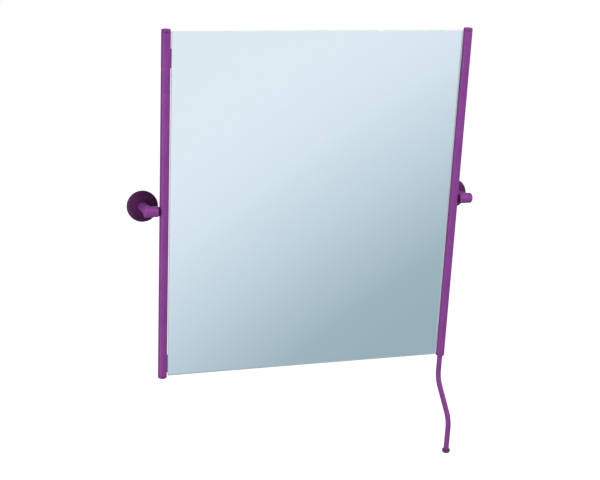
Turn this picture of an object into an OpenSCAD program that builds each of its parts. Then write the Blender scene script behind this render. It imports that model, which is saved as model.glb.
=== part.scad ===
// Tilting wall mirror: a mirror sheet carried between two upright coated tubes.
// Each tube turns at mid height on a wall bracket, and a bent lever under the right
// tube tilts the mirror. Origin: on the wall, midway between the brackets, at the
// height of the pivots. +X to the right, +Y into the wall, +Z up, millimetres.

/* [Mirror sheet] */
// Height of the frame over its end caps
frame_h = 700; // [560:1:900]
// How far the sheet stops short of the frame at top and bottom
glass_inset = 4; // [2:0.5:20]
// Thickness of the glass
glass_t = 5; // [4:0.5:6]
// Width of the polished chamfer along the glass edges
glass_arris = 0.8; // [0.3:0.1:1.2]
// How far the front of the glass lies ahead of the tube axes
glass_ahead = 3; // [0:0.1:3.5]
// Gap between the glass edge and each tube
glass_gap = 1.5; // [1.3:0.1:4]
// Thickness of the safety film on the back
film_t = 0.4; // [0.2:0.1:1]
// Bare margin left around the safety film
film_margin = 1.5; // [1:0.5:6]

/* [Frame tubes] */
// Distance between the axes of the two tubes
tube_spacing = 600; // [400:1:900]
// Outer diameter of the coated tubes
tube_d = 18; // [17:0.5:22]
// Wall of the plastic sleeve
sleeve_wall = 2; // [1.5:0.1:2.4]
// Wall of the steel tube inside the sleeve
core_wall = 1.5; // [1:0.1:2]
// Height of the end caps
cap_h = 5; // [3:0.5:8]
// Rounding of the cap edges
cap_round = 2; // [0.5:0.1:2.5]
// Depth of the cap plugs inside the steel tube
plug_l = 20; // [14:1:30]

/* [Glass clips] */
// Length of each clip along the tube
clip_l = 35; // [26:1:60]
// Distance from the top of the glass down to the upper clips
clip_from_top = 33; // [20:1:120]
// Distance from the bottom of the glass up to the lower clips
clip_from_bottom = 8; // [6:1:120]
// How far the clip's nose stays behind the front of the glass
clip_setback = 0.3; // [0.2:0.1:1]
// Thickness of the leg behind the glass and of the saddle on the tube
clip_wall = 2.4; // [2:0.1:3.5]
// How far the leg reaches behind the glass
clip_leg = 14; // [8:1:30]
// Thickness of the bonding pad between clip and glass
pad_t = 0.4; // [0.2:0.1:0.8]
// Diameter of the clip screws
clip_screw_d = 3; // [2.5:0.1:3.5]
// Diameter of the clip screw heads
clip_head_d = 5.6; // [5:0.1:6.5]
// Height of the clip screw heads
clip_head_h = 1.8; // [1.2:0.1:2.5]
// Distance between the two screws of a clip
clip_screw_pitch = 18; // [10:1:18]

/* [Pivots] */
// Diameter of the pivot screws
pivot_d = 8; // [6:0.5:9]
// Wall of the plastic pivot bushes
bush_wall = 2; // [1.5:0.1:2.5]
// Diameter of the saddle collars between tube and arm
collar_d = 18; // [17.5:0.5:28]
// Gap between tube and arm that the collar fills
collar_w = 3; // [2:0.1:6]
// Thickness of the friction washers
washer_t = 0.8; // [0.5:0.1:1.2]
// Diameter of the friction washers
washer_d = 17; // [15:0.5:20.5]
// Thickness of the disc springs
spring_t = 1; // [0.6:0.1:1.4]
// Diameter of the pivot screw heads
pivot_head_d = 12; // [11:0.5:13]
// Height of the pivot screw heads
pivot_head_h = 3.5; // [2.5:0.1:4]
// Depth of the pivot screws in the arm cores
pivot_grip = 14; // [10:1:20]

/* [Wall brackets] */
// Distance from the wall to the pivot axis
standoff = 78; // [74:1:120]
// Distance from a tube axis out to the stem of its arm
arm_reach = 29; // [27:1:60]
// Diameter of the level part of the arm
arm_d = 21; // [20:0.5:26]
// Diameter of the stem that runs to the wall
stem_d = 19; // [15:0.5:19.5]
// Rounding of the outer end of the arm
arm_round = 4; // [1:0.5:6]
// Chamfer of the arm's end at the washer
arm_chamfer = 0.8; // [0.2:0.1:1.5]
// Diameter of the steel core in the level part
arm_core_d = 12; // [11:0.5:14]
// Diameter of the steel core in the stem
stem_core_d = 10; // [8:0.5:10.5]
// Diameter of the cover roses
rose_d = 62; // [56:1:90]
// Depth of the cover roses
rose_t = 8; // [7.5:0.5:14]
// Wall of the cover roses
rose_wall = 2; // [1.5:0.1:2.5]
// Rounding of the front edge of the roses
rose_round = 5.5; // [0.5:0.1:5.5]
// Thickness of the wall plates
plate_t = 4; // [3:0.5:5]
// Diameter of the holes for the wall screws
screw_hole_d = 5.5; // [4.5:0.1:6.5]
// Distance between the two wall screws of a plate
screw_pitch = 36; // [32:1:38]

/* [Lever] */
// Diameter of the coated lever
lever_d = 11; // [9:0.5:12]
// Diameter of the bare steel ends of the lever
tenon_d = 6; // [5:0.5:7]
// Drop from the tube to the lever's first bend
lever_drop = 55; // [45:1:90]
// How far the lever steps forward
lever_step = 74; // [50:1:100]
// Angle of the lever's slanted part from the tube's line
lever_bend = 50; // [35:1:60]
// Radius of the lever's bends at their centre line
lever_bend_r = 40; // [20:1:44]
// Length of the lever from the tube to the tip of its knob
lever_l = 194; // [180:1:320]
// Diameter of the lever's knob
knob_d = 17; // [15:0.5:30]
// Height of the lever's knob
knob_h = 10.5; // [9:0.5:14]
// Diameter of the set screw that holds the lever
set_screw_d = 4; // [3:0.5:5]

/* [Pose] */
// Forward tilt of the mirror at rest, in degrees
rest_tilt = 9; // [0:0.5:9]

/* [Hidden] */
$fn = 64;

// Gap all round between pieces that are fitted, that turn, and that slip together
fit_gap = 0.05;
running_gap = 0.05;
slip_gap = 0.2;
// How far a cutting shape runs past what it cuts
cut = 1;
// Hexagon sockets: width over corners as a share of the screw's diameter, and depth
// as a share of the head's height
socket_width = 0.6;
socket_depth = 0.6;

tube_x = tube_spacing / 2;
tube_r = tube_d / 2;
tube_l = frame_h - 2 * cap_h;
core_d = tube_d - 2 * sleeve_wall;
core_bore = core_d - 2 * core_wall;

glass_h = frame_h - 2 * glass_inset;
glass_w = tube_spacing - tube_d - 2 * glass_gap;
glass_front = -glass_ahead;
glass_back = glass_front + glass_t;
film_back = glass_back + film_t;

upper_clip_z = glass_h / 2 - clip_from_top - clip_l / 2;
lower_clip_z = -glass_h / 2 + clip_from_bottom + clip_l / 2;
clip_heights = [lower_clip_z, upper_clip_z];
// Directions around the tube axis, in degrees from outward towards the wall
clip_screw_angle = 108;
set_screw_angle = -35;
saddle_r = tube_r + clip_wall;

arm_start = tube_r + collar_w;
arm_end = arm_reach + arm_d / 2;
// How far the pivot screw's head lies below the tube's surface
head_sink = 4.2;
spring_seat = -(tube_r - head_sink - pivot_head_h);
bush_start = spring_seat + spring_t;
bush_end = arm_start - washer_t - running_gap;
bush_d = pivot_d + 2 * bush_wall;
// Space around the pivot screw's head, and between it and the plug that covers it
head_clear = 0.5;
cover_gap = 0.4;
access_d = pivot_head_d + 2 * head_clear;
// How far the collar reaches around the tube
collar_reach = tube_r * 0.95;

rose_cavity = rose_t - rose_wall;
cavity_round = rose_cavity - plate_t - slip_gap;
plate_d = rose_d - 2 * rose_wall - 2 * slip_gap;

lever_tangent = lever_bend_r * tan(lever_bend / 2);
lever_slant = lever_step / sin(lever_bend) - 2 * lever_tangent;
lever_tail = lever_l - lever_drop - lever_step / tan(lever_bend) - lever_tangent - knob_h;
// How far the lever's full width enters the knob, and how deep the knob is bored
knob_seat = 2.5;
knob_bore = knob_h * 0.6;
// Closed end of the socket's plug above the lever
plug_floor = 4;
tenon_l = plug_l - plug_floor;
set_screw_sink = 0.6;
set_socket = 2;
// How far each pad stops short of its clip's ends
pad_inset = 1;

// ---- placing -------------------------------------------------------------

// Draws a right-hand piece, or its mirror image for the left hand.
module on_side(side) {
    mirror([side < 0 ? 1 : 0, 0, 0]) children();
}

// Frame pieces: pivot axis at the origin, upright, then tilted and set off the wall.
module on_frame() {
    translate([0, -standoff, 0]) rotate([rest_tilt, 0, 0]) children();
}

// Bracket pieces: x counts outward from the axis of the right tube, at the pivot height.
module on_bracket(side) {
    on_side(side) translate([tube_x, 0, 0]) children();
}

// Pivot pieces: z counts outward from the tube axis along the pivot axis.
module on_pivot() {
    translate([0, -standoff, 0]) rotate([0, 90, 0]) children();
}

// A tube's own place in the frame.
module on_tube(side) {
    on_frame() on_side(side) translate([tube_x, 0, 0]) children();
}

// A rod along z with its far edge rounded.
module rounded_rod(d, l, r) {
    rotate_extrude() intersection() {
        square([d / 2, l]);
        union() {
            square([d / 2 - r, l]);
            square([d / 2, l - r]);
            translate([d / 2 - r, l - r]) circle(r = r);
        }
    }
}

// A flat ring along z.
module ring(outer, inner, l) {
    difference() {
        cylinder(d = outer, h = l);
        translate([0, 0, -cut]) cylinder(d = inner, h = l + 2 * cut);
    }
}

// ---- wall brackets ---------------------------------------------------------

module wall_plate(side) {
    color("silver") on_bracket(side) translate([arm_reach, 0, 0]) rotate([90, 0, 0])
        difference() {
            cylinder(d = plate_d, h = plate_t);
            translate([0, 0, -cut]) cylinder(d = stem_core_d + 2 * fit_gap, h = plate_t + 2 * cut);
            for (z = [-1, 1])
                translate([0, z * screw_pitch / 2, -cut])
                    cylinder(d = screw_hole_d, h = plate_t + 2 * cut);
        }
}

module rose(side) {
    color("#5A2C60") on_bracket(side) translate([arm_reach, 0, 0]) rotate([90, 0, 0])
        difference() {
            rounded_rod(rose_d, rose_t, rose_round);
            translate([0, 0, -cut])
                rounded_rod(rose_d - 2 * rose_wall, rose_cavity + cut, cavity_round);
            cylinder(d = stem_d + 2 * slip_gap, h = rose_t + cut);
        }
}

module arm(side) {
    core_end = arm_reach + arm_core_d / 2;
    color("#7E4087") on_bracket(side)
        difference() {
            union() {
                translate([arm_start, -standoff, 0]) rotate([0, 90, 0]) {
                    cylinder(d1 = arm_d - 2 * arm_chamfer, d2 = arm_d, h = arm_chamfer);
                    translate([0, 0, arm_chamfer])
                        rounded_rod(arm_d, arm_end - arm_start - arm_chamfer, arm_round);
                }
                translate([arm_reach, -plate_t, 0]) rotate([90, 0, 0])
                    cylinder(d = stem_d, h = standoff - plate_t);
            }
            translate([arm_start - cut, -standoff, 0]) rotate([0, 90, 0])
                cylinder(d = arm_core_d + 2 * fit_gap, h = core_end + fit_gap - arm_start + cut);
            translate([arm_reach, -plate_t + cut, 0]) rotate([90, 0, 0])
                cylinder(d = stem_core_d + 2 * fit_gap, h = standoff - plate_t + cut);
        }
}

module arm_core(side) {
    core_start = arm_start + slip_gap;
    core_end = arm_reach + arm_core_d / 2;
    color("gray") on_bracket(side)
        difference() {
            union() {
                translate([core_start, -standoff, 0]) rotate([0, 90, 0])
                    cylinder(d = arm_core_d, h = core_end - core_start);
                translate([arm_reach, -slip_gap, 0]) rotate([90, 0, 0])
                    cylinder(d = stem_core_d, h = standoff - slip_gap);
            }
            translate([core_start - cut, -standoff, 0]) rotate([0, 90, 0])
                cylinder(d = pivot_d + 2 * fit_gap, h = pivot_grip + slip_gap + cut);
        }
}

// ---- pivots ------------------------------------------------------------------

module pivot_screw(side) {
    color("lightgray") on_bracket(side) on_pivot() {
        translate([0, 0, spring_seat - pivot_head_h])
            difference() {
                cylinder(d = pivot_head_d, h = pivot_head_h);
                translate([0, 0, -cut]) cylinder(d = socket_width * pivot_d, h = socket_depth * pivot_head_h + cut, $fn = 6);
            }
        translate([0, 0, spring_seat])
            cylinder(d = pivot_d, h = arm_start + pivot_grip - spring_seat);
    }
}

module disc_springs() {
    color("silver")
        for (side = [-1, 1])
            on_bracket(side) on_pivot() translate([0, 0, spring_seat])
                ring(pivot_head_d, pivot_d + 2 * fit_gap, spring_t - running_gap);
}

module friction_washers() {
    color("dimgray")
        for (side = [-1, 1])
            on_bracket(side) on_pivot() translate([0, 0, arm_start - washer_t])
                ring(washer_d, pivot_d + 2 * fit_gap, washer_t);
}

module pivot_bush(side) {
    color("#1E1C1F") on_tube(side) rotate([0, 90, 0]) translate([0, 0, bush_start])
        ring(bush_d, pivot_d + 2 * running_gap, bush_end - bush_start);
}

module pivot_collar(side) {
    color("#241C28") on_tube(side)
        difference() {
            rotate([0, 90, 0]) cylinder(d = collar_d, h = bush_end);
            rotate([0, 90, 0]) translate([0, 0, -cut])
                cylinder(d = bush_d + 2 * fit_gap, h = bush_end + 2 * cut);
            cylinder(r = tube_r + fit_gap, h = 2 * collar_d, center = true);
            translate([-cut, -collar_d, -collar_d])
                cube([collar_reach + cut, 2 * collar_d, 2 * collar_d]);
        }
}

// ---- frame tubes ----------------------------------------------------------

// Cross holes at the pivot: the bush outboard, the way in to the screw inboard.
module pivot_holes() {
    rotate([0, 90, 0]) cylinder(d = bush_d + 2 * fit_gap, h = tube_r + cut);
    rotate([0, -90, 0]) cylinder(d = access_d, h = tube_r + cut);
}

// Radial lines of the clip screws: z counts outward from the tube axis.
module at_clip_screws() {
    for (z = clip_heights, step = [-1, 1])
        translate([0, 0, z + step * clip_screw_pitch / 2])
            rotate([0, 0, clip_screw_angle]) rotate([0, 90, 0]) children();
}

// Line of the lever's set screw, behind the tube: z counts outward from its axis.
module at_set_screw() {
    translate([0, 0, -frame_h / 2 + cap_h + tenon_l / 2])
        rotate([0, 0, set_screw_angle]) rotate([-90, 0, 0]) children();
}

// Plug that closes the way in to the pivot screw, flush with the tube.
module pivot_cover(side) {
    color("#7E4087") on_tube(side)
        intersection() {
            rotate([0, -90, 0]) translate([0, 0, tube_r - head_sink + cover_gap])
                cylinder(d = access_d - 2 * fit_gap, h = tube_r);
            cylinder(r = tube_r, h = 2 * access_d, center = true);
        }
}

module tube_shell(side, outer, inner) {
    on_tube(side)
        difference() {
            cylinder(d = outer, h = tube_l, center = true);
            cylinder(d = inner, h = tube_l + 2 * cut, center = true);
            pivot_holes();
            at_clip_screws() cylinder(d = clip_screw_d + 2 * fit_gap, h = tube_r + cut);
            if (side > 0)
                at_set_screw() cylinder(d = set_screw_d + 2 * fit_gap, h = tube_r + cut);
        }
}

module tube(side) {
    color("#874491") tube_shell(side, tube_d, core_d + 2 * fit_gap);
}

module tube_core(side) {
    color("gray") tube_shell(side, core_d, core_bore);
}

// An end cap seen from its outer face: rounded head, then the plug below it.
module end_cap() {
    rounded_rod(tube_d, cap_h, cap_round);
    translate([0, 0, -plug_l]) cylinder(d = core_bore - 2 * fit_gap, h = plug_l);
}

module top_cap(side) {
    color("#7A3F85") on_tube(side) translate([0, 0, tube_l / 2]) end_cap();
}

module left_bottom_cap() {
    color("#6C3A76") on_tube(-1) rotate([180, 0, 0]) translate([0, 0, tube_l / 2]) end_cap();
}

module lever_socket() {
    color("#6C3A76") on_tube(1)
        difference() {
            rotate([180, 0, 0]) translate([0, 0, tube_l / 2]) end_cap();
            translate([0, 0, -frame_h / 2 - cut])
                cylinder(d = tenon_d + 2 * fit_gap, h = cap_h + tenon_l + cut);
            at_set_screw() cylinder(d = set_screw_d + 2 * fit_gap, h = tube_r);
        }
}

// ---- mirror sheet ------------------------------------------------------------

// A sheet's outline in one direction, with both front and back edges chamfered.
module sheet_section(w) {
    a = glass_arris;
    polygon([
        [-w / 2, a], [-w / 2 + a, 0], [w / 2 - a, 0], [w / 2, a],
        [w / 2, glass_t - a], [w / 2 - a, glass_t], [-w / 2 + a, glass_t], [-w / 2, glass_t - a]
    ]);
}

module mirror_glass() {
    color("lightsteelblue") on_frame()
        translate([0, glass_front, 0]) intersection() {
            linear_extrude(glass_h, center = true) sheet_section(glass_w);
            rotate([0, 90, 0]) linear_extrude(glass_w, center = true) sheet_section(glass_h);
        }
}

module safety_film() {
    w = glass_w - 2 * film_margin;
    h = glass_h - 2 * film_margin;
    color("slategray") on_frame() translate([-w / 2, glass_back, -h / 2]) cube([w, film_t, h]);
}

// ---- glass clips ---------------------------------------------------------------

// Clip outline around the axis of the right tube; the glass comes in from -x. A nose
// fills the gap beside the glass, a leg reaches behind it, a saddle grips the tube.
module clip_section() {
    edge = -tube_r - glass_gap;
    nose = glass_front + clip_setback;
    leg_front = film_back + pad_t;
    difference() {
        union() {
            translate([edge + pad_t, nose])
                square([-edge - pad_t, leg_front - nose + clip_wall / 2]);
            translate([edge - clip_leg, leg_front])
                square([clip_leg - edge, clip_wall]);
            circle(r = saddle_r);
        }
        circle(r = tube_r + fit_gap);
        translate([-saddle_r - cut, -2 * saddle_r])
            square([2 * saddle_r + 2 * cut, 2 * saddle_r + nose]);
        translate([0, -saddle_r - cut]) square(2 * saddle_r + 2 * cut);
        translate([-2 * saddle_r + edge + pad_t, nose - cut])
            square([2 * saddle_r, leg_front - nose + cut]);
    }
}

module clip(side, z) {
    color("#6B3A75") on_tube(side) translate([0, 0, z])
        difference() {
            linear_extrude(clip_l, center = true) clip_section();
            for (step = [-1, 1])
                translate([0, 0, step * clip_screw_pitch / 2])
                    rotate([0, 0, clip_screw_angle]) rotate([0, 90, 0])
                        cylinder(d = clip_screw_d + 2 * fit_gap, h = 2 * saddle_r);
        }
}

// Pad outline: bonded to the glass edge and to the film, inside the clip.
module pad_section() {
    edge = -tube_r - glass_gap;
    nose = glass_front + clip_setback;
    translate([edge, nose]) square([pad_t, film_back + pad_t - nose]);
    translate([edge - clip_leg, film_back]) square([clip_leg + pad_t, pad_t]);
}

module clip_pads() {
    color("gainsboro")
        for (side = [-1, 1], z = clip_heights)
            on_tube(side) translate([0, 0, z])
                linear_extrude(clip_l - 2 * pad_inset, center = true) pad_section();
}

module clip_screws() {
    color("silver")
        for (side = [-1, 1])
            on_tube(side) at_clip_screws() {
                translate([0, 0, core_bore / 2])
                    cylinder(d = clip_screw_d, h = saddle_r - core_bore / 2);
                translate([0, 0, saddle_r]) cylinder(d = clip_head_d, h = clip_head_h);
            }
}

// ---- lever --------------------------------------------------------------------

// The lever's centre line in the plane of its bends, as stations of
// [y, z, slope, radius] that run down from the bare upper end to the bare lower end.
function upper_bend(a) = [
    -lever_bend_r * (1 - cos(a)), -lever_first - lever_bend_r * sin(a), a, lever_d / 2
];
function lower_bend(a) = [
    -lever_step + lever_bend_r * (1 - cos(a)), lever_last + lever_bend_r * sin(a), a, lever_d / 2
];
lever_first = lever_drop - lever_tangent;
lever_last = -lever_drop - lever_step / tan(lever_bend) - lever_tangent;
lever_foot = lever_last - lever_tail;
bend_steps = 10;
lever_stations = concat(
    [[0, cap_h + tenon_l - slip_gap, 0, tenon_d / 2], [0, 0, 0, tenon_d / 2], [0, 0, 0, lever_d / 2]],
    [for (i = [0:bend_steps]) upper_bend(lever_bend * i / bend_steps)],
    [for (i = [bend_steps:-1:0]) lower_bend(lever_bend * i / bend_steps)],
    [for (r = [lever_d, tenon_d]) [-lever_step, lever_foot - knob_seat, 0, r / 2]],
    [[-lever_step, lever_foot - knob_bore, 0, tenon_d / 2]]
);

// A closed round bar through stations of [y, z, slope, radius].
module bar_through(stations, sides = 32) {
    rings = len(stations);
    points = [
        for (s = stations, j = [0:sides - 1])
            let (t = 360 * j / sides)
                [s[3] * cos(t), s[0] + s[3] * sin(t) * cos(s[2]), s[1] - s[3] * sin(t) * sin(s[2])]
    ];
    walls = [
        for (i = [0:rings - 2], j = [0:sides - 1])
            let (k = (j + 1) % sides)
                [i * sides + j, i * sides + k, (i + 1) * sides + k, (i + 1) * sides + j]
    ];
    top = [for (j = [sides - 1:-1:0]) j];
    bottom = [for (j = [0:sides - 1]) (rings - 1) * sides + j];
    polyhedron(points, concat([top], walls, [bottom]), convexity = 6);
}

module on_lever() {
    on_tube(1) translate([0, 0, -frame_h / 2]) children();
}

module lever_rod() {
    color("#7A4085") on_lever() bar_through(lever_stations);
}

module lever_knob() {
    edge = knob_h / 2;
    color("#5C3A5C") on_lever() translate([0, -lever_step, -lever_l])
        difference() {
            rotate_extrude() intersection() {
                square([knob_d / 2, knob_h]);
                union() {
                    square([knob_d / 2 - edge, knob_h]);
                    translate([knob_d / 2 - edge, edge]) circle(r = edge);
                }
            }
            translate([0, 0, knob_h - knob_seat]) cylinder(d = lever_d + 2 * fit_gap, h = knob_seat + cut);
            translate([0, 0, knob_h - knob_bore]) cylinder(d = tenon_d + 2 * fit_gap, h = knob_h);
        }
}

module lever_set_screw() {
    tip = tenon_d / 2 + fit_gap;
    color("silver") on_tube(1) at_set_screw() translate([0, 0, tip])
        difference() {
            cylinder(d = set_screw_d, h = tube_r - set_screw_sink - tip);
            translate([0, 0, set_socket]) cylinder(d = socket_width * set_screw_d, h = tube_r, $fn = 6);
        }
}

wall_plate(-1);  // left_wall_plate
wall_plate(1);  // right_wall_plate
rose(-1);  // left_rose
rose(1);  // right_rose
arm(-1);  // left_arm
arm(1);  // right_arm
arm_core(-1);  // left_arm_core
arm_core(1);  // right_arm_core
pivot_screw(-1);  // left_pivot_screw
pivot_screw(1);  // right_pivot_screw
disc_springs();
friction_washers();
tube(-1);  // left_tube
tube(1);  // right_tube
tube_core(-1);  // left_tube_core
tube_core(1);  // right_tube_core
pivot_bush(-1);  // left_pivot_bush
pivot_bush(1);  // right_pivot_bush
pivot_collar(-1);  // left_pivot_collar
pivot_collar(1);  // right_pivot_collar
pivot_cover(-1);  // left_pivot_cover
pivot_cover(1);  // right_pivot_cover
top_cap(-1);  // left_top_cap
top_cap(1);  // right_top_cap
left_bottom_cap();
lever_socket();
mirror_glass();
safety_film();
clip(-1, upper_clip_z);  // upper_left_clip
clip(1, upper_clip_z);  // upper_right_clip
clip(-1, lower_clip_z);  // lower_left_clip
clip(1, lower_clip_z);  // lower_right_clip
clip_pads();
clip_screws();
lever_rod();
lever_knob();
lever_set_screw();
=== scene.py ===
"""Looks of the tilting wall mirror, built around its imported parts."""
from math import cos, pi, radians, sin, tan

import bmesh
import bpy
from mathutils import Matrix, Vector


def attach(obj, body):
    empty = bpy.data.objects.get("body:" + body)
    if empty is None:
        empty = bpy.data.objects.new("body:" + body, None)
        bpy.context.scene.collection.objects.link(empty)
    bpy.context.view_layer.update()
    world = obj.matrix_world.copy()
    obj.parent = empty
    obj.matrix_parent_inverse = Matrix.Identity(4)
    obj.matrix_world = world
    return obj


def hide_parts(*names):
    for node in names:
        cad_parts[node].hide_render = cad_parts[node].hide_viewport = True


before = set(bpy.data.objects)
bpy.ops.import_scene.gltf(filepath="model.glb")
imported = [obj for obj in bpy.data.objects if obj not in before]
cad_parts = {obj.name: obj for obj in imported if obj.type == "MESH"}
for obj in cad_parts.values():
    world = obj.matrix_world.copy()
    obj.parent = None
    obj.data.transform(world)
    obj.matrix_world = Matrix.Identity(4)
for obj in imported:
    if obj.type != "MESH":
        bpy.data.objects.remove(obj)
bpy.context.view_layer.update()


# ---- standpoint ----------------------------------------------------------------
# Where the picture was taken from: left of the mirror, a little above its pivots,
# looking right and down, with the lens of a short telephoto.
CAMERA_PLACE = (-0.7402, -2.4769, 0.3798)
LOOK_RIGHT = 16.535
LOOK_DOWN = 10.186
FOCAL_PIXELS = 1279.1
PICTURE_WIDTH_PIXELS = 600
SENSOR_WIDTH_MM = 36
SIGHT_REACH = 200

camera_data = bpy.data.cameras.new("standpoint")
camera_data.sensor_width = SENSOR_WIDTH_MM
camera_data.lens = FOCAL_PIXELS / PICTURE_WIDTH_PIXELS * SENSOR_WIDTH_MM
camera_data.clip_end = SIGHT_REACH
camera = bpy.data.objects.new("standpoint", camera_data)
camera.location = CAMERA_PLACE
camera.rotation_euler = (radians(90 - LOOK_DOWN), 0, radians(-LOOK_RIGHT))
bpy.context.scene.collection.objects.link(camera)
bpy.context.scene.camera = camera
bpy.context.scene.view_settings.view_transform = "Standard"


# ---- floor ---------------------------------------------------------------------
# A plain white studio floor well below the mirror, with a glow for the eye that keeps it
# even. Nothing reflects it: glass and coats see the room in its place.
FLOOR_DROP = 2.4
FLOOR_REACH = 60
FLOOR_WHITE = (0.9, 0.9, 0.9, 1)
FLOOR_ROUGH = 0.9
FLOOR_LIFT = 0.8
SQUARE = ((-1, -1), (1, -1), (1, 1), (-1, 1))

floor_mesh = bpy.data.meshes.new("studio_floor")
floor_mesh.from_pydata(
    [(x * FLOOR_REACH, y * FLOOR_REACH, -FLOOR_DROP) for x, y in SQUARE],
    [],
    [(0, 1, 2, 3)],
)
floor = bpy.data.objects.new("studio_floor", floor_mesh)
bpy.context.scene.collection.objects.link(floor)
floor.visible_glossy = False
floor.visible_transmission = False
floor_paint = bpy.data.materials.new("studio_floor")
floor_paint.use_nodes = True
floor_tree = floor_paint.node_tree
floor_shader = floor_tree.nodes["Principled BSDF"]
floor_shader.inputs["Base Color"].default_value = FLOOR_WHITE
floor_shader.inputs["Roughness"].default_value = FLOOR_ROUGH
floor_shader.inputs["Specular IOR Level"].default_value = 0
floor_glow = floor_tree.nodes.new("ShaderNodeEmission")
floor_sum = floor_tree.nodes.new("ShaderNodeAddShader")
floor_seen = floor_tree.nodes.new("ShaderNodeLightPath")
floor_lift = floor_tree.nodes.new("ShaderNodeMath")
floor_lift.operation = "MULTIPLY"
floor_lift.inputs[1].default_value = FLOOR_LIFT
floor_tree.links.new(floor_seen.outputs["Is Camera Ray"], floor_lift.inputs[0])
floor_tree.links.new(floor_lift.outputs[0], floor_glow.inputs["Strength"])
floor_tree.links.new(floor_shader.outputs[0], floor_sum.inputs[0])
floor_tree.links.new(floor_glow.outputs[0], floor_sum.inputs[1])
floor_tree.links.new(floor_sum.outputs[0], floor_tree.nodes["Material Output"].inputs["Surface"])
floor.data.materials.append(floor_paint)


# ---- room and lamps ------------------------------------------------------------
# An even white room gives soft light. By way of the glass it is seen graded, from pale sky
# blue, up and left, to slate, down and right. A round lamp shines from the right, and a tall
# one at the left lights everything but the glass, where it would hide that grading.
ROOM_LIGHT = 0.34
ROOM_WHITE = (1, 1, 1, 1)
ROOM_ACROSS = -1.755
ROOM_UP = 2.393
ROOM_MIDDLE = 2.23
ROOM_SHADES = (
    (0.38, (0.35, 0.47, 0.535, 1)),
    (0.47, (0.395, 0.51, 0.58, 1)),
    (0.65, (0.625, 0.725, 0.815, 1)),
    (0.77, (0.765, 0.85, 0.945, 1)),
    (0.89, (0.84, 0.91, 0.995, 1)),
    (1.10, (0.83, 0.92, 0.975, 1)),
    (1.90, (0.68, 0.79, 0.87, 1)),
    (3.20, (0.50, 0.61, 0.70, 1)),
)
ROOM_RANGE = 4.0

room = bpy.data.worlds.new("studio_room")
room.use_nodes = True
bpy.context.scene.world = room
room_tree = room.node_tree
room_tree.nodes.clear()
room_out = room_tree.nodes.new("ShaderNodeOutputWorld")
room_way = room_tree.nodes.new("ShaderNodeTexCoord")
room_split = room_tree.nodes.new("ShaderNodeSeparateXYZ")
room_tree.links.new(room_way.outputs["Generated"], room_split.inputs[0])


def room_sum(first, factor, second):
    """first * factor + second, for the room's shading."""
    step = room_tree.nodes.new("ShaderNodeMath")
    step.operation = "MULTIPLY_ADD"
    room_tree.links.new(first, step.inputs[0])
    step.inputs[1].default_value = factor
    if isinstance(second, float):
        step.inputs[2].default_value = second
    else:
        room_tree.links.new(second, step.inputs[2])
    return step.outputs[0]


# The shade is a place from 0 to ROOM_RANGE in the list above, by the way that one looks.
room_shade = room_sum(room_split.outputs["Z"], ROOM_UP / ROOM_RANGE, ROOM_MIDDLE / ROOM_RANGE)
room_shade = room_sum(room_split.outputs["X"], ROOM_ACROSS / ROOM_RANGE, room_shade)
room_ramp = room_tree.nodes.new("ShaderNodeValToRGB")
room_stops = room_ramp.color_ramp.elements
while len(room_stops) < len(ROOM_SHADES):
    room_stops.new(0.5)
for stop, (place, shade) in zip(room_stops, ROOM_SHADES):
    stop.position = place / ROOM_RANGE
    stop.color = shade
room_tree.links.new(room_shade, room_ramp.inputs["Fac"])
room_graded = room_tree.nodes.new("ShaderNodeBackground")
room_tree.links.new(room_ramp.outputs["Color"], room_graded.inputs["Color"])
room_soft = room_tree.nodes.new("ShaderNodeBackground")
room_soft.inputs["Strength"].default_value = ROOM_LIGHT
room_white = room_tree.nodes.new("ShaderNodeBackground")
room_seen = room_tree.nodes.new("ShaderNodeLightPath")
for background in (room_soft, room_white):
    background.inputs["Color"].default_value = ROOM_WHITE


def room_choice(share, unseen, seen):
    """One of two backgrounds, by the kind of ray that looks at them."""
    choice = room_tree.nodes.new("ShaderNodeMixShader")
    room_tree.links.new(share, choice.inputs["Fac"])
    room_tree.links.new(unseen.outputs[0], choice.inputs[1])
    room_tree.links.new(seen.outputs[0], choice.inputs[2])
    return choice


room_indirect = room_choice(room_seen.outputs["Is Transmission Ray"], room_soft, room_graded)
room_all = room_choice(room_seen.outputs["Is Camera Ray"], room_indirect, room_white)
room_tree.links.new(room_all.outputs[0], room_out.inputs["Surface"])

LAMP_AIM = Vector((0, -0.05, 0))


def toward(left, up):
    """The way to a lamp, by degrees left of straight out from the wall and degrees up."""
    level = cos(radians(up))
    return Vector((-sin(radians(left)) * level, -cos(radians(left)) * level, sin(radians(up))))


def hang_lamp(name, way, away, watts):
    """A lamp that shines on the mirror from that way."""
    lamp_data = bpy.data.lights.new(name, "AREA")
    lamp_data.energy = watts
    lamp = bpy.data.objects.new(name, lamp_data)
    lamp.location = LAMP_AIM + way * away
    lamp.rotation_euler = way.to_track_quat("Z", "Y").to_euler()
    lamp.visible_transmission = False
    bpy.context.scene.collection.objects.link(lamp)
    return lamp


KEY_WAY = toward(left=-24, up=32)
KEY_AWAY = 3.2
KEY_WATTS = 73
KEY_SIZE = 2.0
key = hang_lamp("front_right_lamp", KEY_WAY, KEY_AWAY, KEY_WATTS)
key.visible_glossy = False
key.data.shape = "DISK"
key.data.size = KEY_SIZE

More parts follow.
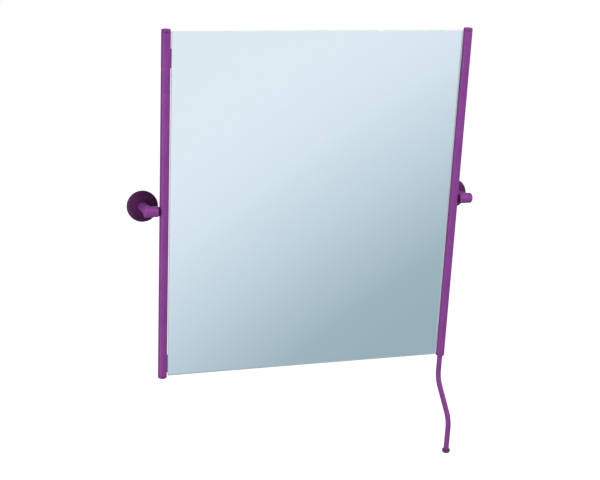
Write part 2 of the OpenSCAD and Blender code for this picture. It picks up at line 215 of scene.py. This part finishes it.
STRIP_WAY = toward(left=66, up=-8)
STRIP_AWAY = 5.0
STRIP_WATTS = 115
STRIP_WIDTH = 0.8
STRIP_HEIGHT = 5.2
strip = hang_lamp("left_strip_lamp", STRIP_WAY, STRIP_AWAY, STRIP_WATTS)
strip.data.shape = "RECTANGLE"
strip.data.size = STRIP_WIDTH
strip.data.size_y = STRIP_HEIGHT
strip_spares = bpy.data.collections.new("left_strip_spares")
strip_spares.objects.link(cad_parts["mirror_glass"])
strip_spares.collection_objects[0].light_linking.link_state = "EXCLUDE"
strip.light_linking.receiver_collection = strip_spares


# ---- wall plates ---------------------------------------------------------------
# Round steel plates, one per side, pressed and zinc plated. Two screws hold each to the
# wall, and the arm's steel core is fixed through its middle.
ZINC_GREY = (0.50, 0.52, 0.55, 1)
ZINC_BLUE = (0.64, 0.67, 0.72, 1)
FLAKES_PER_METRE = 220


class Finish:
    """A material in the making: its node tree, its shader and the place on the piece."""

    def __init__(self, name, metal=0.0, rough=0.5, shine=0.5):
        self.material = bpy.data.materials.new(name)
        self.material.use_nodes = True
        self.tree = self.material.node_tree
        self.shader = self.tree.nodes["Principled BSDF"]
        self.shader.inputs["Metallic"].default_value = metal
        self.shader.inputs["Roughness"].default_value = rough
        self.shader.inputs["Specular IOR Level"].default_value = shine
        self.place = self.tree.nodes.new("ShaderNodeTexCoord").outputs["Object"]

    def turned_place(self, scale=(1, 1, 1), lean=0.0):
        """The place, squeezed so that grain runs along an axis, or leant back upright."""
        turn = self.tree.nodes.new("ShaderNodeMapping")
        turn.inputs["Scale"].default_value = scale
        turn.inputs["Rotation"].default_value = (lean, 0, 0)
        self.tree.links.new(self.place, turn.inputs["Vector"])
        return turn.outputs["Vector"]

    def cloud(self, per_metre, detail, along=(1, 1, 1)):
        """Soft noise, by how many blotches there are in a metre."""
        noise = self.tree.nodes.new("ShaderNodeTexNoise")
        noise.inputs["Scale"].default_value = per_metre
        noise.inputs["Detail"].default_value = detail
        self.tree.links.new(self.turned_place(along), noise.inputs["Vector"])
        return noise.outputs["Fac"]

    def crystals(self, per_metre):
        """Flakes of one tone each."""
        cells = self.tree.nodes.new("ShaderNodeTexVoronoi")
        cells.inputs["Scale"].default_value = per_metre
        self.tree.links.new(self.place, cells.inputs["Vector"])
        grey = self.tree.nodes.new("ShaderNodeRGBToBW")
        self.tree.links.new(cells.outputs["Color"], grey.inputs["Color"])
        return grey.outputs["Val"]

    def combine(self, operation, *values):
        """Sockets or numbers put through one sum."""
        step = self.tree.nodes.new("ShaderNodeMath")
        step.operation = operation
        for value, socket in zip(values, step.inputs):
            if isinstance(value, (int, float)):
                socket.default_value = value
            else:
                self.tree.links.new(value, socket)
        return step.outputs[0]

    def between(self, pattern, low, high, name):
        """One of the shader's values follows the pattern between two limits."""
        span = self.tree.nodes.new("ShaderNodeMapRange")
        span.inputs["To Min"].default_value = low
        span.inputs["To Max"].default_value = high
        self.tree.links.new(pattern, span.inputs["Value"])
        self.tree.links.new(span.outputs["Result"], self.shader.inputs[name])

    def colours(self, pattern, deep, pale, start=0.3, end=0.7):
        """The base colour goes from deep to pale as the pattern goes from start to end."""
        ramp = self.tree.nodes.new("ShaderNodeValToRGB")
        for stop, place, shade in zip(ramp.color_ramp.elements, (start, end), (deep, pale)):
            stop.position = place
            stop.color = shade
        self.tree.links.new(pattern, ramp.inputs["Fac"])
        self.tree.links.new(ramp.outputs["Color"], self.shader.inputs["Base Color"])

    def relief(self, pattern, depth, strength):
        """Fine relief of that depth in metres, on top of any relief before it."""
        bump = self.tree.nodes.new("ShaderNodeBump")
        bump.inputs["Distance"].default_value = depth
        bump.inputs["Strength"].default_value = strength
        self.tree.links.new(pattern, bump.inputs["Height"])
        normal = self.shader.inputs["Normal"]
        if normal.is_linked:
            self.tree.links.new(normal.links[0].from_socket, bump.inputs["Normal"])
        self.tree.links.new(bump.outputs["Normal"], normal)

    def mottle(self, deep, pale, per_metre, detail, along=(1, 1, 1)):
        """The base colour drifts between two shades, in soft blotches."""
        self.colours(self.cloud(per_metre, detail, along), deep, pale)

    def satin(self, smooth, rough, per_metre, detail):
        """The roughness drifts between two limits, in soft blotches."""
        self.between(self.cloud(per_metre, detail), smooth, rough, "Roughness")

    def grain(self, depth, strength, per_metre, detail):
        """Soft grains stand up from the surface, or wide ones make it wavy."""
        self.relief(self.cloud(per_metre, detail), depth, strength)

    def on(self, *names):
        """Puts the finish on carried-over parts."""
        for name in names:
            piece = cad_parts[name]
            piece.data.materials.clear()
            piece.data.materials.append(self.material)


zinc = Finish("zinc_plate", metal=1.0)
zinc_flakes = zinc.crystals(FLAKES_PER_METRE)
zinc.colours(zinc_flakes, ZINC_GREY, ZINC_BLUE, start=0.2, end=0.8)
zinc.satin(smooth=0.28, rough=0.46, per_metre=60, detail=4)
zinc.relief(zinc_flakes, depth=0.00003, strength=0.5)
zinc.on("left_wall_plate", "right_wall_plate")


# ---- cover roses ---------------------------------------------------------------
# Thin moulded covers that hide the plates and screws, of plum plastic with a fine
# spark-eroded grain. They slip over the stem and clip to the plate.
# Both plum tones are darker than the arms' purple, partly as painted shade for the covers' place behind
# the mirror.
PLUM_AND_SHADE_DEEP = (0.090, 0.0165, 0.092, 1)
PLUM_AND_SHADE = (0.112, 0.0205, 0.115, 1)

plum = Finish("plum_cover", shine=0.22)
plum.mottle(PLUM_AND_SHADE_DEEP, PLUM_AND_SHADE, per_metre=35, detail=3)
plum.satin(smooth=0.42, rough=0.56, per_metre=260, detail=2)
plum.grain(depth=0.00002, strength=0.6, per_metre=2600, detail=3)
plum.on("left_rose", "right_rose")


# ---- bracket arms --------------------------------------------------------------
# Each arm is moulded purple plastic over a steel core: a stem from the wall, an elbow and
# a level sleeve that takes the pivot screw.
PURPLE_DEEP = (0.220, 0.041, 0.252, 1)
PURPLE = (0.258, 0.050, 0.296, 1)
PURPLE_SHINE = (0.95, 0.70, 1.0, 1)
STEEL_DARK = (0.30, 0.30, 0.31, 1)
STEEL_LIGHT = (0.48, 0.48, 0.49, 1)
STREAK = 0.04

purple = Finish("purple_coat", shine=0.48)
purple.shader.inputs["Specular Tint"].default_value = PURPLE_SHINE
purple.mottle(PURPLE_DEEP, PURPLE, per_metre=28, detail=3)
purple.satin(smooth=0.40, rough=0.48, per_metre=180, detail=2)
purple.grain(depth=0.00006, strength=0.3, per_metre=420, detail=1)
purple.grain(depth=0.00001, strength=0.5, per_metre=3000, detail=2)
purple.on("left_arm", "right_arm")


def drawn_steel(name, along):
    """Bare steel with the streaks that drawing leaves on it."""
    steel = Finish(name, metal=1.0)
    steel.mottle(STEEL_DARK, STEEL_LIGHT, per_metre=500, detail=3, along=along)
    steel.satin(smooth=0.3, rough=0.5, per_metre=90, detail=3)
    return steel


core_steel = drawn_steel("drawn_steel", along=(1, STREAK, STREAK))
core_steel.on("left_arm_core", "right_arm_core")


# ---- pivots --------------------------------------------------------------------
# A socket screw through each tube into the arm's core. Disc springs press the bush and a
# plastic washer against the arm, so that the mirror stays at any tilt, and a dark collar
# covers them between tube and arm.
SCREW_GREY = (0.46, 0.47, 0.49, 1)
SCREW_BRIGHT = (0.64, 0.65, 0.66, 1)
ACETAL_DEEP = (0.0095, 0.0085, 0.0100, 1)
ACETAL = (0.0135, 0.0125, 0.0145, 1)
WASHER_BLACK = (0.035, 0.030, 0.036, 1)
WASHER_GREY = (0.050, 0.045, 0.052, 1)
COLLAR_BLACK = (0.028, 0.007, 0.034, 1)
COLLAR_WORN = (0.038, 0.011, 0.046, 1)

screw_steel = Finish("bright_steel", metal=1.0)
screw_steel.mottle(SCREW_GREY, SCREW_BRIGHT, per_metre=700, detail=3)
screw_steel.satin(smooth=0.22, rough=0.38, per_metre=1500, detail=2)
screw_steel.on("left_pivot_screw", "right_pivot_screw", "disc_springs")

acetal = Finish("black_acetal", shine=0.3)
acetal.mottle(ACETAL_DEEP, ACETAL, per_metre=120, detail=3)
acetal.satin(smooth=0.45, rough=0.6, per_metre=400, detail=2)
acetal.on("left_pivot_bush", "right_pivot_bush")

washer = Finish("washer_plastic", shine=0.2)
washer.mottle(WASHER_BLACK, WASHER_GREY, per_metre=120, detail=3)
washer.satin(smooth=0.5, rough=0.65, per_metre=400, detail=2)
washer.on("friction_washers")

collar = Finish("collar_plastic", shine=0.1)
collar.mottle(COLLAR_BLACK, COLLAR_WORN, per_metre=90, detail=3)
collar.satin(smooth=0.45, rough=0.6, per_metre=500, detail=2)
collar.grain(depth=0.00002, strength=0.5, per_metre=2600, detail=2)
collar.on("left_pivot_collar", "right_pivot_collar")


# ---- frame tubes ---------------------------------------------------------------
# Purple plastic drawn over a steel core tube. A plug of the same plastic, flush with the
# tube, closes the way in to each pivot screw.
purple.on("left_tube", "right_tube", "left_pivot_cover", "right_pivot_cover")

tube_steel = drawn_steel("tube_steel", along=(1, 1, STREAK))
tube_steel.on("left_tube_core", "right_tube_core")


# ---- end caps ------------------------------------------------------------------
# Moulded caps pushed into the tube ends. Each head stands off the tube by a narrow shadow
# gap, is rounded at the rim, and keeps the small dimple where it was cut from its sprue.
HINGE = Vector((0, -0.078, 0))
LEAN = radians(9)
TUBE_X = 0.300
TUBE_R = 0.009
FRAME_TOP = 0.350
CAP_HEIGHT = 0.005
CAP_ROUND = 0.002
PLUG_R = 0.00545
PLUG_LENGTH = 0.020
PLUG_ROUND = 0.001
GAP_HEIGHT = 0.001
GAP_R = 0.0077
GAP_CHAMFER = 0.0003
DIMPLE_R = 0.0012
DIMPLE_DEEP = 0.0002
SIDES = 72
SHARP_DEGREES = 32

leaning = Matrix.Translation(HINGE) @ Matrix.Rotation(LEAN, 4, "X")


def meshed(name, build):
    """The finished mesh, smooth except at its sharp edges."""
    bmesh.ops.recalc_face_normals(build, faces=build.faces)
    mesh = bpy.data.meshes.new(name)
    build.to_mesh(mesh)
    build.free()
    mesh.shade_smooth()
    mesh.set_sharp_from_angle(angle=radians(SHARP_DEGREES))
    return mesh


def turned(name, profile, closed=False, sides=SIDES):
    """A mesh turned about z from (radius, height) points; a radius may vary with the angle."""
    build = bmesh.new()
    rings = []
    for reach, height in profile:
        if reach == 0:
            rings.append([build.verts.new((0, 0, height))])
            continue
        ring = []
        for number in range(sides):
            angle = 2 * pi * number / sides
            radius = reach(angle) if callable(reach) else reach
            ring.append(build.verts.new((radius * cos(angle), radius * sin(angle), height)))
        rings.append(ring)
    if closed:
        rings.append(rings[0])
    for low, high in zip(rings, rings[1:]):
        for number in range(sides):
            after = (number + 1) % sides
            corners = (
                low[number % len(low)], low[after % len(low)],
                high[after % len(high)], high[number % len(high)],
            )
            build.faces.new(list(dict.fromkeys(corners)))
    return meshed(name, build)


def rounding(radius, height, size, start, end, steps=6):
    """Points of a rounded corner about (radius, height), by angles in degrees."""
    turns = [radians(start + (end - start) * step / steps) for step in range(steps + 1)]
    return [(radius + size * cos(turn), height + size * sin(turn)) for turn in turns]


def new_piece(name, mesh, place, body, slot, *finishes):
    """A piece of that mesh, put in its place on a body."""
    mesh.transform(place)
    for finish in finishes:
        mesh.materials.append(finish.material)
    piece = bpy.data.objects.new(name, mesh)
    bpy.context.scene.collection.objects.link(piece)
    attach(piece, body)
    return piece


def cap_rim():
    """Outline of a cap's head, from the tube's end over the shadow gap to the flat top."""
    return [
        (GAP_R, 0), (GAP_R, GAP_HEIGHT), (TUBE_R - GAP_CHAMFER, GAP_HEIGHT),
        (TUBE_R, GAP_HEIGHT + GAP_CHAMFER),
        *rounding(TUBE_R - CAP_ROUND, CAP_HEIGHT - CAP_ROUND, CAP_ROUND, 0, 90),
    ]


cap_outline = [
    (0, -PLUG_LENGTH),
    *rounding(PLUG_R - PLUG_ROUND, PLUG_ROUND - PLUG_LENGTH, PLUG_ROUND, -90, 0, steps=3),
    (PLUG_R, 0), *cap_rim(),
    (2 * DIMPLE_R, CAP_HEIGHT), (DIMPLE_R, CAP_HEIGHT - DIMPLE_DEEP), (0, CAP_HEIGHT - DIMPLE_DEEP),
]
for name, side, end in (("left_top_cap", -1, 1), ("right_top_cap", 1, 1), ("left_bottom_cap", -1, -1)):
    at_end = Matrix.Translation((side * TUBE_X, 0, end * (FRAME_TOP - CAP_HEIGHT)))
    if end < 0:
        at_end = at_end @ Matrix.Rotation(pi, 4, "X")
    cap_mesh = turned(name + "_moulded", cap_outline)
    cap = new_piece(
        name + "_moulded", cap_mesh, leaning @ at_end, "mirror_frame", "purple_coat", purple
    )
    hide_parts(name)


# ---- mirror sheet --------------------------------------------------------------
# Five millimetre float glass with polished edges, silvered and painted at the back. A grey
# film over that, stiffened with thread, holds the pieces together if it breaks.
GLASS_HALF_WIDTH = 0.2895
GLASS_HALF_HEIGHT = 0.346
GLASS_FRONT = -0.003
GLASS_THICK = 0.005
ARRIS = 0.0008
GLASS_IOR = 1.52
GLASS_TINT = (0.975, 0.99, 0.99, 1)
GLASS_GREEN = (0.35, 0.72, 0.62, 1)
GLASS_GREEN_PER_METRE = 5.0
# The edges are milky, with a faint painted glow in place of the light that glass carries to them.
FACE_SHARE = 0.995
EDGE_PALE = (0.90, 0.94, 0.94, 1)
EDGE_ROUGH = 0.2
EDGE_CLEAR = 0.3
EDGE_PAINTED_GLOW = 0.16
# The silver lies just ahead of the back arris, so that it reaches the edges.
SILVER_INSET = 0.00005
SILVER_THICK = 0.00008
SILVER_BACK = GLASS_FRONT + GLASS_THICK - ARRIS
SILVER_FRONT = SILVER_BACK - SILVER_THICK
SILVER = (0.93, 0.95, 0.955, 1)
PAINT_GREY = (0.20, 0.21, 0.22, 1)
PAINT_PALE = (0.26, 0.27, 0.28, 1)
FILM_GREY = (0.27, 0.285, 0.31, 1)
FILM_PALE = (0.33, 0.345, 0.37, 1)
THREADS_PER_METRE = 160
SCALE_PER_BAND = pi / 10
THREAD_NARROWNESS = 6
THREAD_TONE = 0.22
THREAD_RELIEF = 0.00008

glass = Finish("float_glass")
glass_facing = glass.tree.nodes.new("ShaderNodeVectorMath")
glass_facing.operation = "DOT_PRODUCT"
glass_facing.inputs[1].default_value = leaning.to_3x3() @ Vector((0, -1, 0))
glass.tree.links.new(glass.place.node.outputs["Normal"], glass_facing.inputs[0])
glass_flat = glass.combine("ABSOLUTE", glass_facing.outputs["Value"])
glass_edge = glass.combine("LESS_THAN", glass_flat, FACE_SHARE)
glass.colours(glass_edge, GLASS_TINT, EDGE_PALE, start=0.0, end=1.0)
glass.between(glass_edge, 0.0, EDGE_ROUGH, "Roughness")
glass.between(glass_edge, 1.0, EDGE_CLEAR, "Transmission Weight")
# A painted glow on the edges, standing in for the light carried through the glass.
glass.shader.inputs["Emission Color"].default_value = EDGE_PALE
glass.between(glass_edge, 0.0, EDGE_PAINTED_GLOW, "Emission Strength")
glass.shader.inputs["IOR"].default_value = GLASS_IOR
glass_depth = glass.tree.nodes.new("ShaderNodeVolumeAbsorption")
glass_depth.inputs["Color"].default_value = GLASS_GREEN
glass_depth.inputs["Density"].default_value = GLASS_GREEN_PER_METRE
glass.tree.links.new(glass_depth.outputs[0], glass.tree.nodes["Material Output"].inputs["Volume"])
glass.on("mirror_glass")

silver = Finish("silvering", metal=1.0, rough=0.0)
silver.shader.inputs["Base Color"].default_value = SILVER

back_paint = Finish("backing_paint")
back_paint.mottle(PAINT_GREY, PAINT_PALE, per_metre=80, detail=4)
back_paint.satin(smooth=0.5, rough=0.7, per_metre=300, detail=2)

silver_mesh = bpy.data.meshes.new("mirror_silver")
silver_half = (GLASS_HALF_WIDTH - SILVER_INSET, GLASS_HALF_HEIGHT - SILVER_INSET)
silver_mesh.from_pydata(
    [(x * silver_half[0], y, z * silver_half[1]) for y in (SILVER_FRONT, SILVER_BACK) for x, z in SQUARE],
    [],
    [(0, 1, 2, 3), (7, 6, 5, 4), (4, 5, 1, 0), (5, 6, 2, 1), (6, 7, 3, 2), (7, 4, 0, 3)],
)
for number, face in enumerate(silver_mesh.polygons):
    face.material_index = min(number, 1)
new_piece("mirror_silver", silver_mesh, leaning, "mirror_frame", "mirror_glass", silver, back_paint)

film = Finish("safety_film")
film_upright = film.turned_place(lean=-LEAN)
film_threads = []
for across in ("X", "Z"):
    threads = film.tree.nodes.new("ShaderNodeTexWave")
    threads.bands_direction = across
    threads.inputs["Scale"].default_value = THREADS_PER_METRE * SCALE_PER_BAND
    film.tree.links.new(film_upright, threads.inputs["Vector"])
    film_threads.append(film.combine("POWER", threads.outputs["Fac"], THREAD_NARROWNESS))
film_weave = film.combine("MAXIMUM", *film_threads)
film_blotches = film.cloud(per_metre=14, detail=5)
film_shade = film.combine("MULTIPLY_ADD", film_weave, THREAD_TONE, film_blotches)
film.colours(film_shade, FILM_GREY, FILM_PALE, end=0.85)
film.satin(smooth=0.34, rough=0.46, per_metre=40, detail=3)
film.relief(film_weave, THREAD_RELIEF, strength=0.5)
film.grain(depth=0.0004, strength=0.25, per_metre=25, detail=3)
film.on("safety_film")


# ---- glass clips ---------------------------------------------------------------
# Four moulded clips, each screwed to the back of a tube by two small cross head screws.
# A leg behind the sheet is bonded to the film by a soft clear pad.
CLIP_HEIGHTS = (-0.3205, 0.2955)
CLIP_SCREW_PITCH = 0.018
CLIP_SCREW_TURN = 108
SCREW_START = 0.0055
SCREW_SEAT = 0.0114
SCREW_TOP = 0.0132
SCREW_R = 0.0015
SCREW_CHAMFER = 0.0003
HEAD_R = 0.0028
HEAD_CHAMFER = 0.0001
HEAD_ROUND = 0.0012
HEAD_ROUND_TO = 75
CROSS_REACH = 0.0015
CROSS_HALF_WIDTH = 0.00026
CROSS_DEEP = 0.0008
CROSS_FOOT = 0.6
CROSS_POINT = 0.0003
CROSS_TURN = 20
CROSS_TURN_BETWEEN = 60
LEAST_SINE = 0.01
SCREW_SIDES = 96
PAD_TINT = (0.72, 0.75, 0.76, 1)
PAD_CLEAR = 0.6

purple.on("upper_left_clip", "lower_left_clip", "upper_right_clip", "lower_right_clip")

pad = Finish("clear_pad", rough=0.35)
pad.shader.inputs["Base Color"].default_value = PAD_TINT
pad.shader.inputs["Transmission Weight"].default_value = PAD_CLEAR
pad.grain(depth=0.00003, strength=0.4, per_metre=700, detail=2)
pad.on("clip_pads")


def cross(angle):
    """Reach of the driver's cross at an angle."""
    off = (angle + pi / 4) % (pi / 2) - pi / 4
    return min(CROSS_REACH / cos(off), CROSS_HALF_WIDTH / max(abs(sin(off)), LEAST_SINE))


def cross_foot(angle):
    """Reach of the cross at its foot."""
    return CROSS_FOOT * cross(angle)


screw_outline = [
    (0, SCREW_START), (SCREW_R - SCREW_CHAMFER, SCREW_START), (SCREW_R, SCREW_START + SCREW_CHAMFER),
    (SCREW_R, SCREW_SEAT), (HEAD_R - HEAD_CHAMFER, SCREW_SEAT), (HEAD_R, SCREW_SEAT + HEAD_CHAMFER),
    *rounding(HEAD_R - HEAD_ROUND, SCREW_TOP - HEAD_ROUND, HEAD_ROUND, 0, HEAD_ROUND_TO, steps=5),
    (cross, SCREW_TOP), (cross_foot, SCREW_TOP - CROSS_DEEP), (0, SCREW_TOP - CROSS_DEEP - CROSS_POINT),
]
clip_screws = bmesh.new()
for side in (-1, 1):
    for height in CLIP_HEIGHTS:
        for step in (-0.5, 0.5):
            one = turned("clip_screw", screw_outline, sides=SCREW_SIDES)
            turn = CLIP_SCREW_TURN if side > 0 else 180 - CLIP_SCREW_TURN
            one.transform(
                Matrix.Translation((side * TUBE_X, 0, height + step * CLIP_SCREW_PITCH))
                @ Matrix.Rotation(radians(turn), 4, "Z")
                @ Matrix.Rotation(pi / 2, 4, "Y")
                @ Matrix.Rotation(radians(CROSS_TURN * side + CROSS_TURN_BETWEEN * step), 4, "Z")
            )
            clip_screws.from_mesh(one)
            bpy.data.meshes.remove(one)
clip_screw_mesh = meshed("clip_screws_cross", clip_screws)
clip_screw_piece = new_piece(
    "clip_screws_cross", clip_screw_mesh, leaning, "mirror_frame", "screw_steel", screw_steel
)
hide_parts("clip_screws")


# ---- lever ---------------------------------------------------------------------
# A bent bar under the right tube, for tilting the mirror from a seat. A coated steel rod,
# its bare ends sit in the socket that closes the tube and in the small rounded knob.
LEVER_R = 0.0055
TENON_R = 0.003
TENON_LENGTH = 0.016
TENON_SLACK = 0.0002
LEVER_DROP = 0.055
LEVER_STEP = 0.074
LEVER_BEND = radians(50)
LEVER_BEND_R = 0.040
LEVER_LENGTH = 0.194
KNOB_HEIGHT = 0.0105
KNOB_SEAT = 0.0025
KNOB_BORE_SHARE = 0.6
SOCKET_BORE_R = 0.00305
SOCKET_CHAMFER = 0.0003
SOCKET_PLUG_CHAMFER = 0.0005
SHOULDER = 0.0005
BEND_STEPS = 24
KNOB_DEEP = (0.110, 0.026, 0.112, 1)
KNOB = (0.135, 0.034, 0.138, 1)

screw_steel.on("lever_set_screw")

knob = Finish("lever_knob", shine=0.3)
knob.mottle(KNOB_DEEP, KNOB, per_metre=60, detail=3)
knob.satin(smooth=0.45, rough=0.58, per_metre=300, detail=2)
knob.grain(depth=0.00002, strength=0.5, per_metre=2600, detail=2)
knob.on("lever_knob")

socket_outline = [
    (SOCKET_BORE_R, -PLUG_LENGTH), (PLUG_R - SOCKET_PLUG_CHAMFER, -PLUG_LENGTH),
    (PLUG_R, SOCKET_PLUG_CHAMFER - PLUG_LENGTH), (PLUG_R, 0), *cap_rim(),
    (SOCKET_BORE_R + SOCKET_CHAMFER, CAP_HEIGHT), (SOCKET_BORE_R, CAP_HEIGHT - SOCKET_CHAMFER),
]
socket_place = Matrix.Translation((TUBE_X, 0, CAP_HEIGHT - FRAME_TOP)) @ Matrix.Rotation(pi, 4, "X")
socket_mesh = turned("lever_socket_moulded", socket_outline, closed=True)
socket = new_piece(
    "lever_socket_moulded", socket_mesh, leaning @ socket_place, "mirror_frame", "purple_coat", purple
)
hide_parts("lever_socket")


def lever_stations():
    """Down the bar's centre line: how far back, how high, how far bent, and its radius."""
    tangent = LEVER_BEND_R * tan(LEVER_BEND / 2)
    first = -(LEVER_DROP - tangent)
    last = -LEVER_DROP - LEVER_STEP / tan(LEVER_BEND) - tangent
    foot = KNOB_HEIGHT - KNOB_SEAT - LEVER_LENGTH
    bends = [LEVER_BEND * step / BEND_STEPS for step in range(BEND_STEPS + 1)]
    yield 0, TENON_LENGTH + CAP_HEIGHT - TENON_SLACK, 0, TENON_R
    yield 0, 0, 0, TENON_R
    yield 0, 0, 0, LEVER_R - SHOULDER
    yield 0, -SHOULDER, 0, LEVER_R
    for bend in bends:
        yield -LEVER_BEND_R * (1 - cos(bend)), first - LEVER_BEND_R * sin(bend), bend, LEVER_R
    for bend in reversed(bends):
        forward = LEVER_STEP - LEVER_BEND_R * (1 - cos(bend))
        yield -forward, last + LEVER_BEND_R * sin(bend), bend, LEVER_R
    yield -LEVER_STEP, foot, 0, LEVER_R
    yield -LEVER_STEP, foot, 0, TENON_R
    yield -LEVER_STEP, foot + KNOB_SEAT - KNOB_BORE_SHARE * KNOB_HEIGHT, 0, TENON_R


bar = bmesh.new()
bar_rings = []
for back, height, bend, radius in lever_stations():
    bar_ring = []
    for number in range(SIDES):
        angle = 2 * pi * number / SIDES
        x = radius * cos(angle)
        y = radius * sin(angle)
        bar_ring.append(bar.verts.new((x, back + y * cos(bend), height - y * sin(bend))))
    bar_rings.append(bar_ring)
for high, low in zip(bar_rings, bar_rings[1:]):
    for number in range(SIDES):
        after = (number + 1) % SIDES
        bar.faces.new((high[number], high[after], low[after], low[number]))
bar.faces.new(bar_rings[0])
bar.faces.new(bar_rings[-1])
bar_place = leaning @ Matrix.Translation((TUBE_X, 0, -FRAME_TOP))
bar_piece = new_piece(
    "lever_bar", meshed("lever_bar", bar), bar_place, "mirror_frame", "purple_coat", purple
)
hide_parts("lever_rod")
